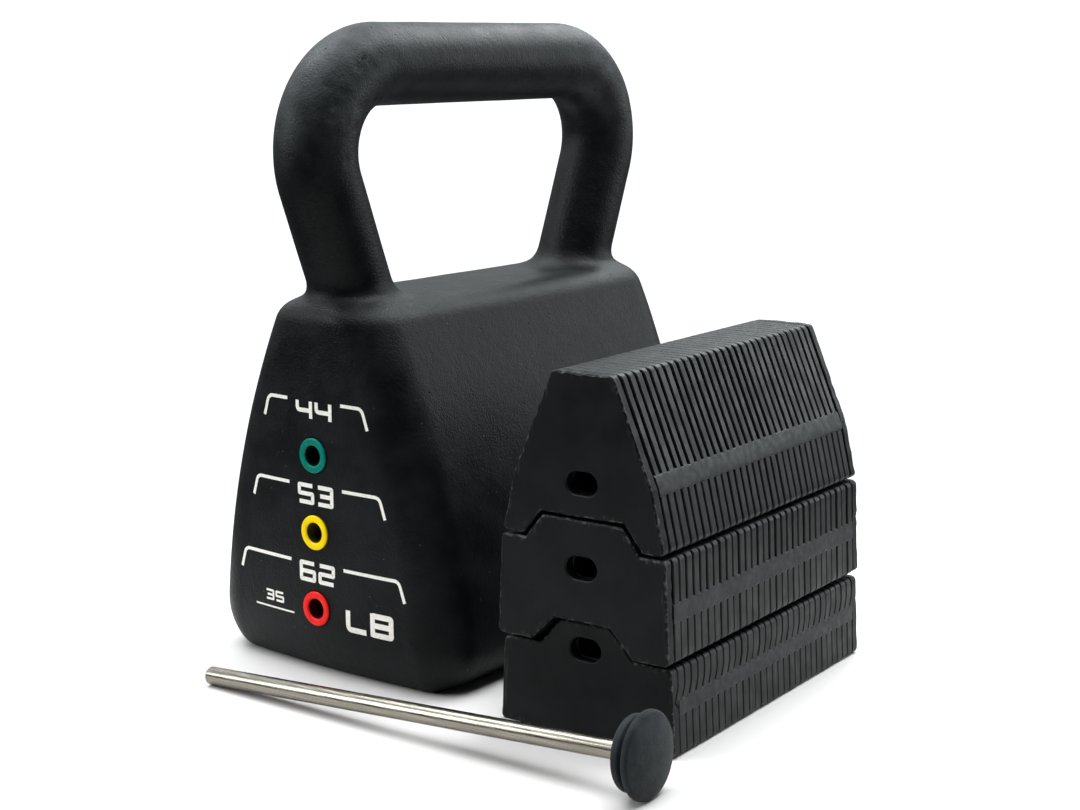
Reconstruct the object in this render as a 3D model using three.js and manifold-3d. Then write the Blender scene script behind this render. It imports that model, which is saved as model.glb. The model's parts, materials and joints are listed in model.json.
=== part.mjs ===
// Adjustable cast-iron kettlebell, taken apart and laid out on a level surface.
// The hollow shell stands beside its tower of three laminated steel weight stacks,
// and the selector pin lies in front of both. Millimetres, +Z up. The numbered end
// of the shell faces -Y. The origin is under the middle of the whole group.
import * as THREE from 'three';
import { mergeVertices } from 'three/addons/utils/BufferGeometryUtils.js';
import Module from 'manifold-3d';

const wasm = await Module();
wasm.setup();

// ---- driving dimensions ---------------------------------------------------

const slotPitch = 34.5; // from one pin hole to the next, in the shell and in the tower
const gap = 0.35; // left between two pieces that touch
const overcut = 5; // how far a cutting tool runs past the face it cuts

const pin = {
  rodRadius: 3.97,
  rodLength: 216, // rod that shows, from its tip to the knob
  tip: new THREE.Vector2(-169.9, -36.9), // where the tip lies on the floor
  heading: THREE.MathUtils.degToRad(0.5), // from +X towards +Y, seen from above
  spigotRadius: 2.9, // the thinner end that the outer disc is pressed onto
  spigotLength: 3.2,
  chamfer: 0.8,
};
const knob = {
  innerRadius: 14.9,
  outerRadius: 17.2,
  innerThick: 5,
  outerThick: 6.6,
  waistRadius: 11.8,
  rimStart: 1.6, // from the outer disc's back to where its rim is full width
  rimEnd: 3.3,
  edgeCut: 1.2, // how much the two discs' sharp edges are taken off
  crownRadius: 10.7, // where the outer face's crown begins to level out
  crownDrop: 0.6,
  magnetRadius: 8.5,
  magnetThick: 2.6,
  magnetInset: 0.6,
};

const tower = { length: 166.2, sheetCount: 32, slotWidth: 14.6, slotHeight: 9.6 };
const sheetThick = tower.length / tower.sheetCount;
const seam = { width: 7.6, depth: 1.1 };
const rounding = { notch: 1.2, edge: 2.2, hump: 1.5 }; // of the stacks' outline

// Each stack from the floor up. Half widths across X and heights along Z; a knee is
// where a flank turns inwards, and a hump fits up into the notch of the stack above.
const stacks = [
  {
    name: 'bottom_stack', slotZ: 37.2, setBack: 3.3, length: 162.5, seamZ: 20,
    base: { half: 42.2, z: 0 }, shoulder: { half: 40.1, z: 36.5 },
    hump: { foot: 22.6, top: 12.2, z: 48.4 },
  },
  {
    name: 'middle_stack', slotZ: 37.2 + slotPitch, setBack: 0, length: tower.length, seamZ: 58,
    base: { half: 40.9, z: 38.4 }, shoulder: { half: 38.9, z: 81 },
    notch: { foot: 24.2, top: 13.2, z: 49.6 }, hump: { foot: 27, top: 18.9, z: 91.4 },
  },
  {
    name: 'top_stack', slotZ: 37.2 + 2 * slotPitch, setBack: 0, length: tower.length, seamZ: 109,
    base: { half: 38.7, z: 82.1 }, knee: { half: 32.5, z: 107.5 }, shoulder: { half: 14.4, z: 150.3 },
    notch: { foot: 28.2, top: 19.9, z: 92.6 },
  },
];

const shell = {
  centre: new THREE.Vector3(-134.7, 106, 0),
  turn: THREE.MathUtils.degToRad(-2.4), // it stands a little askew to the tower
  halfLength: 107.2,
  endBow: 4.8, // how far the end walls curve back over their half width
  height: 165.8,
  baseHalf: 73, // half width of the flanks' straight taper, at the floor and at the top
  topHalf: 29.4,
  bulge: 9.8, // how far the flanks swell out of that taper at half height
  cornerRadius: 21.6,
  cornerTaper: 0.45, // how much the plan's corners tighten where the walls turn in
  topRound: 7.8,
  sideFoot: { height: 19.3, inset: 18.9 }, // the rounded lower edge along the flanks
  endFoot: { height: 30, inset: 11.5 }, // and along the end walls
};
const cavity = { clearance: 3, endClearance: 2.6, ceiling: 145, ceilingRound: 4, drop: 6.4 };
const holes = {
  lowest: 30.8, radius: 6.5, counterbore: 8.2, counterboreDepth: 1.3, rearRadius: 4.9,
};
const bushing = { bore: 4.5, barrel: 6.1, flange: 7.8, flangeThick: 2, chamfer: 0.6, length: 19 };

const handle = {
  radius: 18,
  barZ: 266.4,
  legAtMiddle: 95.5, // centre line's distance from the shell's middle, at legMiddleZ
  legMiddleZ: 207,
  lean: 0.39, // outward lean of the legs, as a slope
  bend: 37, // centre-line radius of the two upper corners
  rootZ: 152, // where the legs end, inside the casting
};

// ---- materials ------------------------------------------------------------

const finish = {
  castIron: { color: 0x1d1f21, roughness: 0.5, metalness: 0.2 },
  sheetSteel: { color: 0x232629, roughness: 0.55, metalness: 0.3 },
  seamSteel: { color: 0x2b2e31, roughness: 0.6, metalness: 0.3 },
  greenPlastic: { color: 0x147364, roughness: 0.4, metalness: 0 },
  yellowPlastic: { color: 0xe6c80a, roughness: 0.4, metalness: 0 },
  redPlastic: { color: 0xe12d28, roughness: 0.4, metalness: 0 },
  rodSteel: { color: 0xcfc9ba, roughness: 0.2, metalness: 1 },
  rubber: { color: 0x3c4248, roughness: 0.85, metalness: 0 },
  magnet: { color: 0x8c8f92, roughness: 0.35, metalness: 1 },
};

function piece(name, geometry, look) {
  const mesh = new THREE.Mesh(geometry, new THREE.MeshStandardMaterial(look));
  mesh.name = name;
  return mesh;
}

// ---- solids ---------------------------------------------------------------

function toSolid(geometry) {
  const bare = geometry.clone();
  bare.deleteAttribute('normal');
  bare.deleteAttribute('uv');
  const merged = mergeVertices(bare, 1e-4);
  const mesh = new wasm.Mesh({
    numProp: 3,
    vertProperties: new Float32Array(merged.attributes.position.array),
    triVerts: new Uint32Array(merged.index.array),
  });
  return new wasm.Manifold(mesh);
}

function toGeometry(solid) {
  const mesh = solid.getMesh();
  const geometry = new THREE.BufferGeometry();
  geometry.setAttribute('position', new THREE.BufferAttribute(new Float32Array(mesh.vertProperties), 3));
  geometry.setIndex(new THREE.BufferAttribute(new Uint32Array(mesh.triVerts), 1));
  geometry.computeVertexNormals();
  return geometry;
}

// A cylinder along Y from yStart to yEnd, about the line at (x, z).
function roundBar(radius, yStart, yEnd, x, z, sides = 24) {
  const geometry = new THREE.CylinderGeometry(radius, radius, yEnd - yStart, sides);
  geometry.translate(x, (yStart + yEnd) / 2, z);
  return geometry;
}

// A flat outline in X and Z, pushed along Y from yStart to yEnd.
function pushAlongY(shape, yStart, yEnd, curveSegments = 3) {
  const geometry = new THREE.ExtrudeGeometry(shape, {
    depth: yEnd - yStart, bevelEnabled: false, curveSegments,
  });
  geometry.rotateX(Math.PI / 2);
  geometry.translate(0, yEnd, 0);
  return geometry;
}

// A closed outline through corners {x, z, round}, each corner rounded off by its own radius.
function roundedOutline(corners) {
  const shape = new THREE.Shape();
  corners.forEach((corner, i) => {
    const here = new THREE.Vector2(corner.x, corner.z);
    const before = corners[(i + corners.length - 1) % corners.length];
    const after = corners[(i + 1) % corners.length];
    const back = new THREE.Vector2(before.x, before.z).sub(here).normalize();
    const ahead = new THREE.Vector2(after.x, after.z).sub(here).normalize();
    const cut = corner.round / Math.tan(Math.acos(back.dot(ahead)) / 2);
    const start = here.clone().addScaledVector(back, cut);
    const end = here.clone().addScaledVector(ahead, cut);
    if (i === 0) shape.moveTo(start.x, start.y);
    else shape.lineTo(start.x, start.y);
    if (corner.round > 0) shape.quadraticCurveTo(here.x, here.y, end.x, end.y);
  });
  shape.closePath();
  return shape;
}

// ---- weight stacks --------------------------------------------------------

// The half outline at +X, from the underside's middle to the top's middle.
function stackHalfOutline(stack) {
  const half = [];
  if (stack.notch) {
    half.push({ x: stack.notch.top, z: stack.notch.z, round: rounding.notch });
    half.push({ x: stack.notch.foot, z: stack.base.z, round: rounding.notch });
  }
  half.push({ x: stack.base.half, z: stack.base.z, round: rounding.edge });
  if (stack.knee) half.push({ x: stack.knee.half, z: stack.knee.z, round: 0 });
  half.push({ x: stack.shoulder.half, z: stack.shoulder.z, round: rounding.edge });
  if (stack.hump) {
    half.push({ x: stack.hump.foot, z: stack.shoulder.z, round: rounding.notch });
    half.push({ x: stack.hump.top, z: stack.hump.z, round: rounding.hump });
  }
  return half;
}

function stackOutline(stack) {
  const right = stackHalfOutline(stack);
  const left = right.map((corner) => ({ ...corner, x: -corner.x })).reverse();
  return roundedOutline([...right, ...left]);
}

function slotOutline(z) {
  const straight = (tower.slotWidth - tower.slotHeight) / 2;
  const radius = tower.slotHeight / 2;
  const path = new THREE.Path();
  path.absarc(straight, z, radius, -Math.PI / 2, Math.PI / 2, false);
  path.absarc(-straight, z, radius, Math.PI / 2, 1.5 * Math.PI, false);
  path.closePath();
  return path;
}

// Half width of a stack's flank at height z.
function flankHalf(stack, z) {
  const knee = stack.knee ?? stack.shoulder;
  const [low, high] = z < knee.z ? [stack.base, knee] : [knee, stack.shoulder];
  return THREE.MathUtils.mapLinear(z, low.z, high.z, low.half, high.half);
}

// The strip that joins the sheets along one flank: side is +1 at +X and -1 at -X.
function seamOutline(stack, side, grow) {
  const low = stack.seamZ - seam.width / 2;
  const high = stack.seamZ + seam.width / 2;
  const levels = [low - grow, high + grow];
  if (stack.knee) levels.splice(1, 0, stack.knee.z);
  const past = grow > 0 ? overcut : 0;
  const outer = levels.map((z) => new THREE.Vector2(side * (flankHalf(stack, z) + past), z));
  const inner = levels.map((z) => new THREE.Vector2(side * (flankHalf(stack, z) - seam.depth - grow), z));
  return new THREE.Shape([...outer, ...inner.reverse()]);
}

function stackPieces(stack) {
  const outline = stackOutline(stack);
  outline.holes.push(slotOutline(stack.slotZ));
  const front = stack.setBack;
  const rear = stack.setBack + stack.length;
  const coreStart = front + sheetThick + gap;
  const coreEnd = rear - sheetThick - gap;
  let core = toSolid(pushAlongY(outline, coreStart, coreEnd));
  for (const side of [1, -1]) {
    const groove = pushAlongY(seamOutline(stack, side, gap), coreStart - overcut, coreEnd + overcut);
    core = core.subtract(toSolid(groove));
  }
  const seamPiece = (side, word) => piece(
    `${stack.name}_${word}_seam`,
    pushAlongY(seamOutline(stack, side, 0), coreStart, coreEnd),
    finish.seamSteel,
  );
  const group = new THREE.Group();
  group.add(
    piece(`${stack.name}_front_plate`, pushAlongY(outline, front, front + sheetThick), finish.sheetSteel),
    piece(`${stack.name}_sheets`, toGeometry(core), finish.sheetSteel),
    piece(`${stack.name}_rear_plate`, pushAlongY(outline, rear - sheetThick, rear), finish.sheetSteel),
    seamPiece(-1, 'left'),
    seamPiece(1, 'right'),
  );
  return group;
}

// ---- shell casting --------------------------------------------------------

// How far the rounded lower edge, a quarter ellipse, is inside the wall's line at height z.
function footInset(foot, z) {
  if (z >= foot.height) return 0;
  const up = (foot.height - z) / foot.height;
  return foot.inset * (1 - Math.sqrt(1 - up * up));
}

function topInset(z) {
  const into = z - (shell.height - shell.topRound);
  if (into <= 0) return 0;
  return shell.topRound - Math.sqrt(Math.max(shell.topRound ** 2 - into ** 2, 0));
}

// The body's plan outline at height z: a rounded rectangle with bowed ends.
function bodyRing(z) {
  const u = z / shell.height;
  const taper = THREE.MathUtils.lerp(shell.baseHalf, shell.topHalf, u) + 4 * shell.bulge * u * (1 - u);
  const sideInset = footInset(shell.sideFoot, z) + topInset(z);
  const endInset = footInset(shell.endFoot, z) + topInset(z);
  const half = taper - sideInset;
  const reach = shell.halfLength - endInset;
  const corner = shell.cornerRadius - shell.cornerTaper * sideInset;
  const bow = (x) => shell.endBow * (x / shell.baseHalf) ** 2;
  const quarter = [];
  const flat = half - corner;
  const flatSteps = 3;
  const cornerSteps = 6;
  for (let i = 0; i < flatSteps; i += 1) {
    const x = (flat * i) / flatSteps;
    quarter.push([x, reach - bow(x)]);
  }
  for (let i = 0; i <= cornerSteps; i += 1) {
    const angle = (Math.PI / 2) * (1 - i / cornerSteps);
    const x = flat + corner * Math.cos(angle);
    quarter.push([x, reach - bow(flat) - corner + corner * Math.sin(angle)]);
  }
  quarter.push([half, 0]);
  const mirrored = (points, sx, sy) => points.map(([x, y]) => [sx * x, sy * y]);
  return [
    ...mirrored(quarter, 1, 1).reverse(),
    ...mirrored(quarter.slice(1), -1, 1),
    ...mirrored(quarter.slice(0, -1), -1, -1).reverse(),
    ...mirrored(quarter.slice(1, -1), 1, -1),
  ].map(([x, y]) => new THREE.Vector3(x, y, z));
}

// A closed skin over rings of equal length, with a fan at each end.
function loft(rings) {
  const count = rings[0].length;
  const positions = rings.flat().flatMap((p) => [p.x, p.y, p.z]);
  const index = [];
  for (let r = 0; r + 1 < rings.length; r += 1) {
    for (let i = 0; i < count; i += 1) {
      const a = r * count + i;
      const b = r * count + ((i + 1) % count);
      index.push(a, b, b + count, a, b + count, a + count);
    }
  }
  const cap = (ring, first, flip) => {
    const z = ring[0].z;
    const centre = positions.length / 3;
    positions.push(0, 0, z);
    for (let i = 0; i < count; i += 1) {
      const a = first + i;
      const b = first + ((i + 1) % count);
      index.push(centre, ...(flip ? [b, a] : [a, b]));
    }
  };
  cap(rings[0], 0, true);
  cap(rings.at(-1), (rings.length - 1) * count, false);
  const geometry = new THREE.BufferGeometry();
  geometry.setAttribute('position', new THREE.Float32BufferAttribute(positions, 3));
  geometry.setIndex(index);
  return geometry;
}

// Sections close together round the foot and the top edge, and evenly up the walls.
function bodySolid() {
  const footSteps = 6;
  const wallSteps = 6;
  const roundSteps = 5;
  const foot = shell.endFoot.height;
  const rim = shell.height - shell.topRound;
  const heights = [];
  for (let i = 0; i < footSteps; i += 1) {
    heights.push(foot * (1 - Math.cos((Math.PI / 2) * (i / footSteps))));
  }
  for (let i = 0; i < wallSteps; i += 1) {
    heights.push(THREE.MathUtils.lerp(foot, rim, i / wallSteps));
  }
  for (let i = 0; i <= roundSteps; i += 1) {
    heights.push(rim + shell.topRound * Math.sin((Math.PI / 2) * (i / roundSteps)));
  }
  return toSolid(loft(heights.map(bodyRing)));
}

// Centre line of the handle: up one leg, round the corner, along the bar and down.
class HandleLine extends THREE.Curve {
  constructor() {
    super();
    const legX = (z) => handle.legAtMiddle + handle.lean * (z - handle.legMiddleZ);
    const tilt = Math.atan(handle.lean);
    const turn = Math.PI / 2 + tilt;
    const back = handle.bend * Math.tan(turn / 2);
    this.root = new THREE.Vector2(legX(handle.rootZ), handle.rootZ);
    this.cornerX = legX(handle.barZ) - back;
    this.turn = turn;
    this.legEnd = new THREE.Vector2(
      legX(handle.barZ) - back * Math.sin(tilt),
      handle.barZ - back * Math.cos(tilt),
    );
    this.legLength = this.root.distanceTo(this.legEnd);
    this.arcLength = handle.bend * turn;
    this.total = 2 * (this.legLength + this.arcLength + this.cornerX);
  }

  getPoint(t, target = new THREE.Vector3()) {
    const mirrored = t > 0.5;
    let s = (mirrored ? 1 - t : t) * this.total;
    const at = new THREE.Vector2();
    if (s < this.legLength) {
      at.lerpVectors(this.root, this.legEnd, s / this.legLength);
    } else if (s < this.legLength + this.arcLength) {
      const left = this.turn - (s - this.legLength) / handle.bend;
      at.set(this.cornerX + handle.bend * Math.sin(left), handle.barZ - handle.bend * (1 - Math.cos(left)));
    } else {
      s -= this.legLength + this.arcLength;
      at.set(this.cornerX - s, handle.barZ);
    }
    return target.set(0, mirrored ? at.x : -at.x, at.y);
  }
}

function handleSolid() {
  const section = new THREE.Shape();
  section.absarc(0, 0, handle.radius, 0, 2 * Math.PI, false);
  const steps = 48;
  const curveSegments = 9;
  const geometry = new THREE.ExtrudeGeometry(section, {
    steps, curveSegments, bevelEnabled: false, extrudePath: new HandleLine(),
  });
  return toSolid(geometry);
}

// The hollow that the tower fills: the tower's outline, grown by the clearance.
function cavitySolid() {
  const [bottom, middle, top] = stacks;
  const lift = cavity.clearance;
  const at = (spot) => ({ x: spot.half + lift, z: spot.z - cavity.drop, round: 0 });
  const right = [
    { x: bottom.base.half + lift, z: -overcut, round: 0 },
    at(middle.shoulder),
    at(top.knee),
    { x: top.shoulder.half + lift, z: cavity.ceiling, round: cavity.ceilingRound },
  ];
  const left = right.map((corner) => ({ ...corner, x: -corner.x })).reverse();
  const reach = tower.length / 2 + cavity.endClearance;
  return toSolid(pushAlongY(roundedOutline([...right, ...left]), -reach, reach));
}

function shellCasting() {
  const reach = tower.length / 2 + cavity.endClearance;
  let casting = bodySolid().add(handleSolid()).subtract(cavitySolid());
  for (let i = 0; i < 3; i += 1) {
    const z = holes.lowest + i * slotPitch;
    const face = -shell.halfLength + footInset(shell.endFoot, z);
    const outside = face - overcut;
    const through = roundBar(holes.radius, outside, -reach + overcut, 0, z);
    const counterbore = roundBar(holes.counterbore, outside, face + holes.counterboreDepth, 0, z);
    const rear = roundBar(holes.rearRadius, reach - overcut, shell.halfLength + overcut, 0, z, 16);
    casting = casting.subtract(toSolid(through)).subtract(toSolid(counterbore)).subtract(toSolid(rear));
  }
  return toGeometry(casting);
}

function pinBushing(z) {
  const face = -shell.halfLength + holes.counterboreDepth - gap;
  const { chamfer } = bushing;
  const outside = -bushing.flangeThick;
  const profile = [
    [bushing.bore, bushing.length],
    [bushing.bore, outside + chamfer],
    [bushing.bore + chamfer, outside],
    [bushing.flange - chamfer, outside],
    [bushing.flange, outside + chamfer],
    [bushing.flange, 0],
    [bushing.barrel, 0],
    [bushing.barrel, bushing.length],
    [bushing.bore, bushing.length],
  ].map(([r, y]) => new THREE.Vector2(r, y));
  const geometry = new THREE.LatheGeometry(profile, 28);
  geometry.translate(0, face, z);
  return geometry;
}

function shellPieces() {
  const group = new THREE.Group();
  group.position.copy(shell.centre);
  group.rotation.z = shell.turn;
  group.add(piece('shell_casting', shellCasting(), finish.castIron));
  const colours = [
    ['lower_pin_bushing', finish.redPlastic],
    ['middle_pin_bushing', finish.yellowPlastic],
    ['upper_pin_bushing', finish.greenPlastic],
  ];
  colours.forEach(([name, look], i) => {
    const bush = piece(name, pinBushing(0), look);
    bush.position.z = holes.lowest + i * slotPitch;
    group.add(bush);
  });
  return group;
}

// ---- selector pin ---------------------------------------------------------

// A turned piece about its own Y axis, from [radius, y] corners. The profile closes on itself.
function turned(corners, sides) {
  const profile = corners.map(([r, y]) => new THREE.Vector2(r, y));
  if (corners[0][0] > 0) profile.push(profile[0].clone());
  return new THREE.LatheGeometry(profile, sides);
}

// Built along +Y with the tip at 0, then laid on the floor: the knob's wide rim props
// the far end up.
function pinPieces() {
  const { rodRadius, rodLength, spigotRadius, chamfer } = pin;
  const { innerRadius, outerRadius, waistRadius, magnetRadius, edgeCut } = knob;
  const innerEnd = rodLength + knob.innerThick;
  const outerEnd = innerEnd + knob.outerThick;
  const spigotEnd = innerEnd + pin.spigotLength;
  const magnetStart = rodLength + knob.magnetInset;
  const magnetEnd = magnetStart + knob.magnetThick;
  const rod = turned([
    [0, 0], [rodRadius - chamfer, 0], [rodRadius, chamfer], [rodRadius, magnetEnd],
    [spigotRadius, magnetEnd], [spigotRadius, spigotEnd], [0, spigotEnd],
  ], 20);
  const magnet = turned([
    [rodRadius + gap, magnetStart], [magnetRadius, magnetStart],
    [magnetRadius, magnetEnd], [rodRadius + gap, magnetEnd],
  ], 24);
  const inner = turned([
    [magnetRadius + gap, rodLength], [innerRadius - edgeCut, rodLength],
    [innerRadius, rodLength + edgeCut], [innerRadius, innerEnd - 1.5 * edgeCut],
    [waistRadius, innerEnd - gap], [spigotRadius + gap, innerEnd - gap],
    [spigotRadius + gap, magnetEnd + gap], [magnetRadius + gap, magnetEnd + gap],
  ], 32);
  const outer = turned([
    [0, spigotEnd + gap], [spigotRadius + gap, spigotEnd + gap], [spigotRadius + gap, innerEnd],
    [waistRadius, innerEnd], [outerRadius, innerEnd + knob.rimStart], [outerRadius, innerEnd + knob.rimEnd],
    [outerRadius - edgeCut, innerEnd + knob.rimEnd + edgeCut], [knob.crownRadius, outerEnd - knob.crownDrop],
    [0, outerEnd],
  ], 32);
  const rise = Math.asin((outerRadius - rodRadius) / (innerEnd + knob.rimStart));
  const along = new THREE.Vector3(1, 0, Math.tan(rise)).normalize();
  along.applyAxisAngle(new THREE.Vector3(0, 0, 1), pin.heading);
  const group = new THREE.Group();
  group.position.set(pin.tip.x, pin.tip.y, rodRadius);
  group.quaternion.setFromUnitVectors(new THREE.Vector3(0, 1, 0), along);
  group.add(
    piece('pin_rod', rod, finish.rodSteel),
    piece('knob_magnet', magnet, finish.magnet),
    piece('knob_inner_disc', inner, finish.rubber),
    piece('knob_outer_disc', outer, finish.rubber),
  );
  return group;
}

// ---- assembly -------------------------------------------------------------

const group = new THREE.Group();
group.add(shellPieces(), ...stacks.map(stackPieces), pinPieces());

// Everything so far is measured from the floor point under the middle of the tower's
// front face. The origin moves to the floor point under the middle of the whole group.
group.updateMatrixWorld(true);
const extent = new THREE.Box3().setFromObject(group, true);
const middle = extent.getCenter(new THREE.Vector3());
group.position.set(-middle.x, -middle.y, -extent.min.z);

export default group;
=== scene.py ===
"""An adjustable kettlebell taken apart: the hollow cast shell with its handle, the three
nested stacks of steel sheets that fill it, and the selector pin that locks them in.

Shapes are worked out in millimetres, each in the frame of the sub-assembly it belongs to,
and one matrix per sub-assembly puts them into Blender's metres. The places come from the
CAD frame. Nothing here is random from run to run: every generator has its own seed.
"""

import json
import math
import random
from types import SimpleNamespace as Dims

import bmesh
import bpy
import numpy as np
from mathutils import Matrix, Vector, geometry, noise


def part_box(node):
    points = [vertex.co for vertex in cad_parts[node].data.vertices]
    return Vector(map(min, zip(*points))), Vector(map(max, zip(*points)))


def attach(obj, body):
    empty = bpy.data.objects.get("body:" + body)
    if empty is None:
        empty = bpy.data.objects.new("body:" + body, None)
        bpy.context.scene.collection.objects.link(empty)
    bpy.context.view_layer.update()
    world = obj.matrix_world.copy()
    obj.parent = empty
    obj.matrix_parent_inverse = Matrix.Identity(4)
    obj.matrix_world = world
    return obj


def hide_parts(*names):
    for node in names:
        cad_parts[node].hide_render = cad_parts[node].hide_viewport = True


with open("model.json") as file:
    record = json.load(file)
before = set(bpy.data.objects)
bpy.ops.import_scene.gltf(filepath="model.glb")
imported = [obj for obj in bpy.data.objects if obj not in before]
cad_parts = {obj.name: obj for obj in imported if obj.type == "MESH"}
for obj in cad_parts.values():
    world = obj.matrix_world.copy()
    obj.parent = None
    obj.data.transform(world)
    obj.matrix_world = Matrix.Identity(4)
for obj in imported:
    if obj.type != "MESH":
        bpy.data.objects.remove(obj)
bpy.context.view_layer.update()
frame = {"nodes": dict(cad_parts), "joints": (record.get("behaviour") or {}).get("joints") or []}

MM = 0.001  # metres in a millimetre

# ---- driving dimensions, in millimetres -----------------------------------------------

SLOT_PITCH = 34.5  # from one pin hole to the next, in the shell and in the tower

shell = Dims(
    turn=math.radians(-2.4),  # it stands a little askew to the tower
    half_length=107.2,
    end_bow=4.8,  # how far the end walls curve back over their half width
    height=165.8,
    base_half=73.0,
    top_half=29.4,
    bulge=9.8,
    corner=21.6,
    top_round=8.5,
    side_foot=Dims(height=19.3, inset=18.9),
    end_foot=Dims(height=30.0, inset=11.5),
    root_blend=9.5,  # how widely the handle's roots flow into the body
    grid=2.1,  # the spacing of the grid that its skin starts from
    wave=0.14,  # the casting's slight waves: their depth and their size
    wave_size=24.0,
    pits=26,
    pit_depth=(0.5, 1.0),
    pit_angle=(0.5, 1.7),  # round the bend over the numbered end, from the bar down
    pit_side=(9.0, 17.0),
    pit_along=(-12, 12),
    pit_up=(-14, 8),
)
handle = Dims(
    radius=18.0,
    bar_z=266.4,
    leg_at_middle=95.5,
    leg_middle_z=207.0,
    lean=0.39,
    bend=37.0,
    root_z=152.0,
)
cavity = Dims(
    reach=85.7,  # half length
    mouth_half=45.2,
    shoulder=(41.9, 74.6),  # half width and height where the walls turn in
    knee=(35.5, 101.1),
    ceiling=(17.4, 145.0),
    ceiling_round=4.0,
    wall_round=6.0,
    mouth_chamfer=1.6,
)
pin_hole = Dims(
    lowest=30.8, radius=6.5, counterbore=8.2, counterbore_depth=1.3, rear_radius=4.9,
    rear_chamfer=0.8,
)
OVERCUT = 5.0  # how far a cutter runs past the face it cuts
bushing = Dims(
    bore=4.5, barrel=6.1, flange=7.8, flange_thick=2.0, length=19.0, proud=1.05,
    lip=0.9, rim=0.7, edge=0.4, under=0.2,  # the radii of its rounded edges
    dark_from=0.3, dark_over=0.6,  # where painted shade darkens its bore, from its face inwards
)

tower = Dims(sheet_count=32, slot_half=7.3, slot_radius=4.8, slot_lip=0.5, longest_edge=3.0)
# Each stack's section is three runs of corners (half width, height, radius): the notch in
# its underside, its flank and the hump on its top. The seam lies across the flank.
stacks = {
    "bottom_stack": Dims(
        slot_z=37.2, front=3.3, length=162.5, seam_z=20.0, seam_reach=(3.8, 3.8),
        notch=(),
        flank=((42.2, 0.0, 2.4), (40.1, 36.5, 2.4)),
        hump=((22.6, 36.5, 1.2), (12.2, 48.4, 1.5)),
    ),
    "middle_stack": Dims(
        slot_z=37.2 + SLOT_PITCH, front=0.0, length=166.2, seam_z=58.0, seam_reach=(3.8, 5.2),
        notch=((13.2, 49.6, 1.2), (24.2, 38.4, 1.2)),
        flank=((40.9, 38.4, 2.4), (38.9, 81.0, 2.4)),
        hump=((27.0, 81.0, 1.2), (18.9, 91.4, 1.5)),
    ),
    "top_stack": Dims(
        slot_z=37.2 + 2 * SLOT_PITCH, front=0.0, length=166.2, seam_z=109.0, seam_reach=(5.0, 3.8),
        notch=((19.9, 92.6, 1.2), (28.2, 82.1, 1.2)),
        flank=((38.7, 82.1, 2.4), (32.5, 107.5, 5.0), (14.4, 150.3, 3.2)),
        hump=(),
    ),
}
# How the sheets' edges show along the flanks: the gap between two sheets and its depth,
# above and below the seam, how far a gap hooks forwards just above the seam, and how
# unevenly the sheets are stacked.
edges = {
    "bottom_stack": Dims(gap=(0.4, 0.32), depth=(0.9, 0.8), hook=2.6, stray=0.12),
    "middle_stack": Dims(gap=(1.05, 0.5), depth=(2.0, 1.2), hook=0.0, stray=0.3),
    "top_stack": Dims(gap=(1.5, 1.0), depth=(2.6, 2.0), hook=0.0, stray=0.1),
}

sheet = Dims(
    bevel=0.4,
    facing=(0.2, 0.5),  # how far outwards an edge must face to count as flank, and how
    flank_reach=4.0,  # far in from the flank it may lie
    top_gap=0.3,  # the gap and its depth over the stack's top and underside
    top_depth=0.25,
    ragged=0.06,  # how uneven an inner sheet's outline is
    plate_ragged=0.35,  # and a front or rear plate's
    ragged_rate=0.35,  # how fast that changes along the outline, and from sheet to sheet
    ragged_step=3.7,
    inset=0.1,  # how far inside the true outline its edges run
    rim_wear=(0.15, 0.3),  # the worn share of the paint on both sides of a bevel
    plate_bevel=0.75,
    plate_bevel_change=0.55,
    plate_bevel_depth=0.8,  # as a share of its width
    plate_wear=(0.9, 1.0),
    plate_band=3.0,  # how far in from a plate's edge its paint is scuffed
    plate_band_used=0.8,  # the share of the band that a bevel may take
    gap_change=(0.75, 1.25),
    hook_reach=6.0,
    rest=0.15,  # how far short of the next piece the foot of its last gap stops
)
seam = Dims(
    proud=0.1, sunk=3.2, edge=0.5, lip=0.25, steps=8,  # steps to a sheet
    tooth=0.3,  # how far its edges are drawn into each gap
    ragged=0.35, ragged_rate=0.4, wave=0.08, wave_rate=0.15,
)

rod = Dims(radius=3.97, length=216.0, chamfer=0.8, spigot=2.9, spigot_length=3.2)
knob = Dims(
    inner_radius=14.9, inner_thick=5.0, outer_radius=17.2, outer_thick=6.6,
    waist=11.8, rim_start=1.6, rim_end=3.3, magnet_radius=8.5, magnet_end=3.2, gap=0.35,
    inner_round=1.8, inner_taper=1.6, edge=0.9, flange_edge=0.7, fine_edge=0.3,
    crown_start=1.0, crown_edge=0.6,  # how the outer face's crown rises to its middle
    crown_steps=9, crown_power=2.4,
)

camera = Dims(
    place=(0.47686, -0.68238, 0.2784), tilt=78.91, heading=35.2, lens=62.8, sensor=36.0,
)

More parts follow.
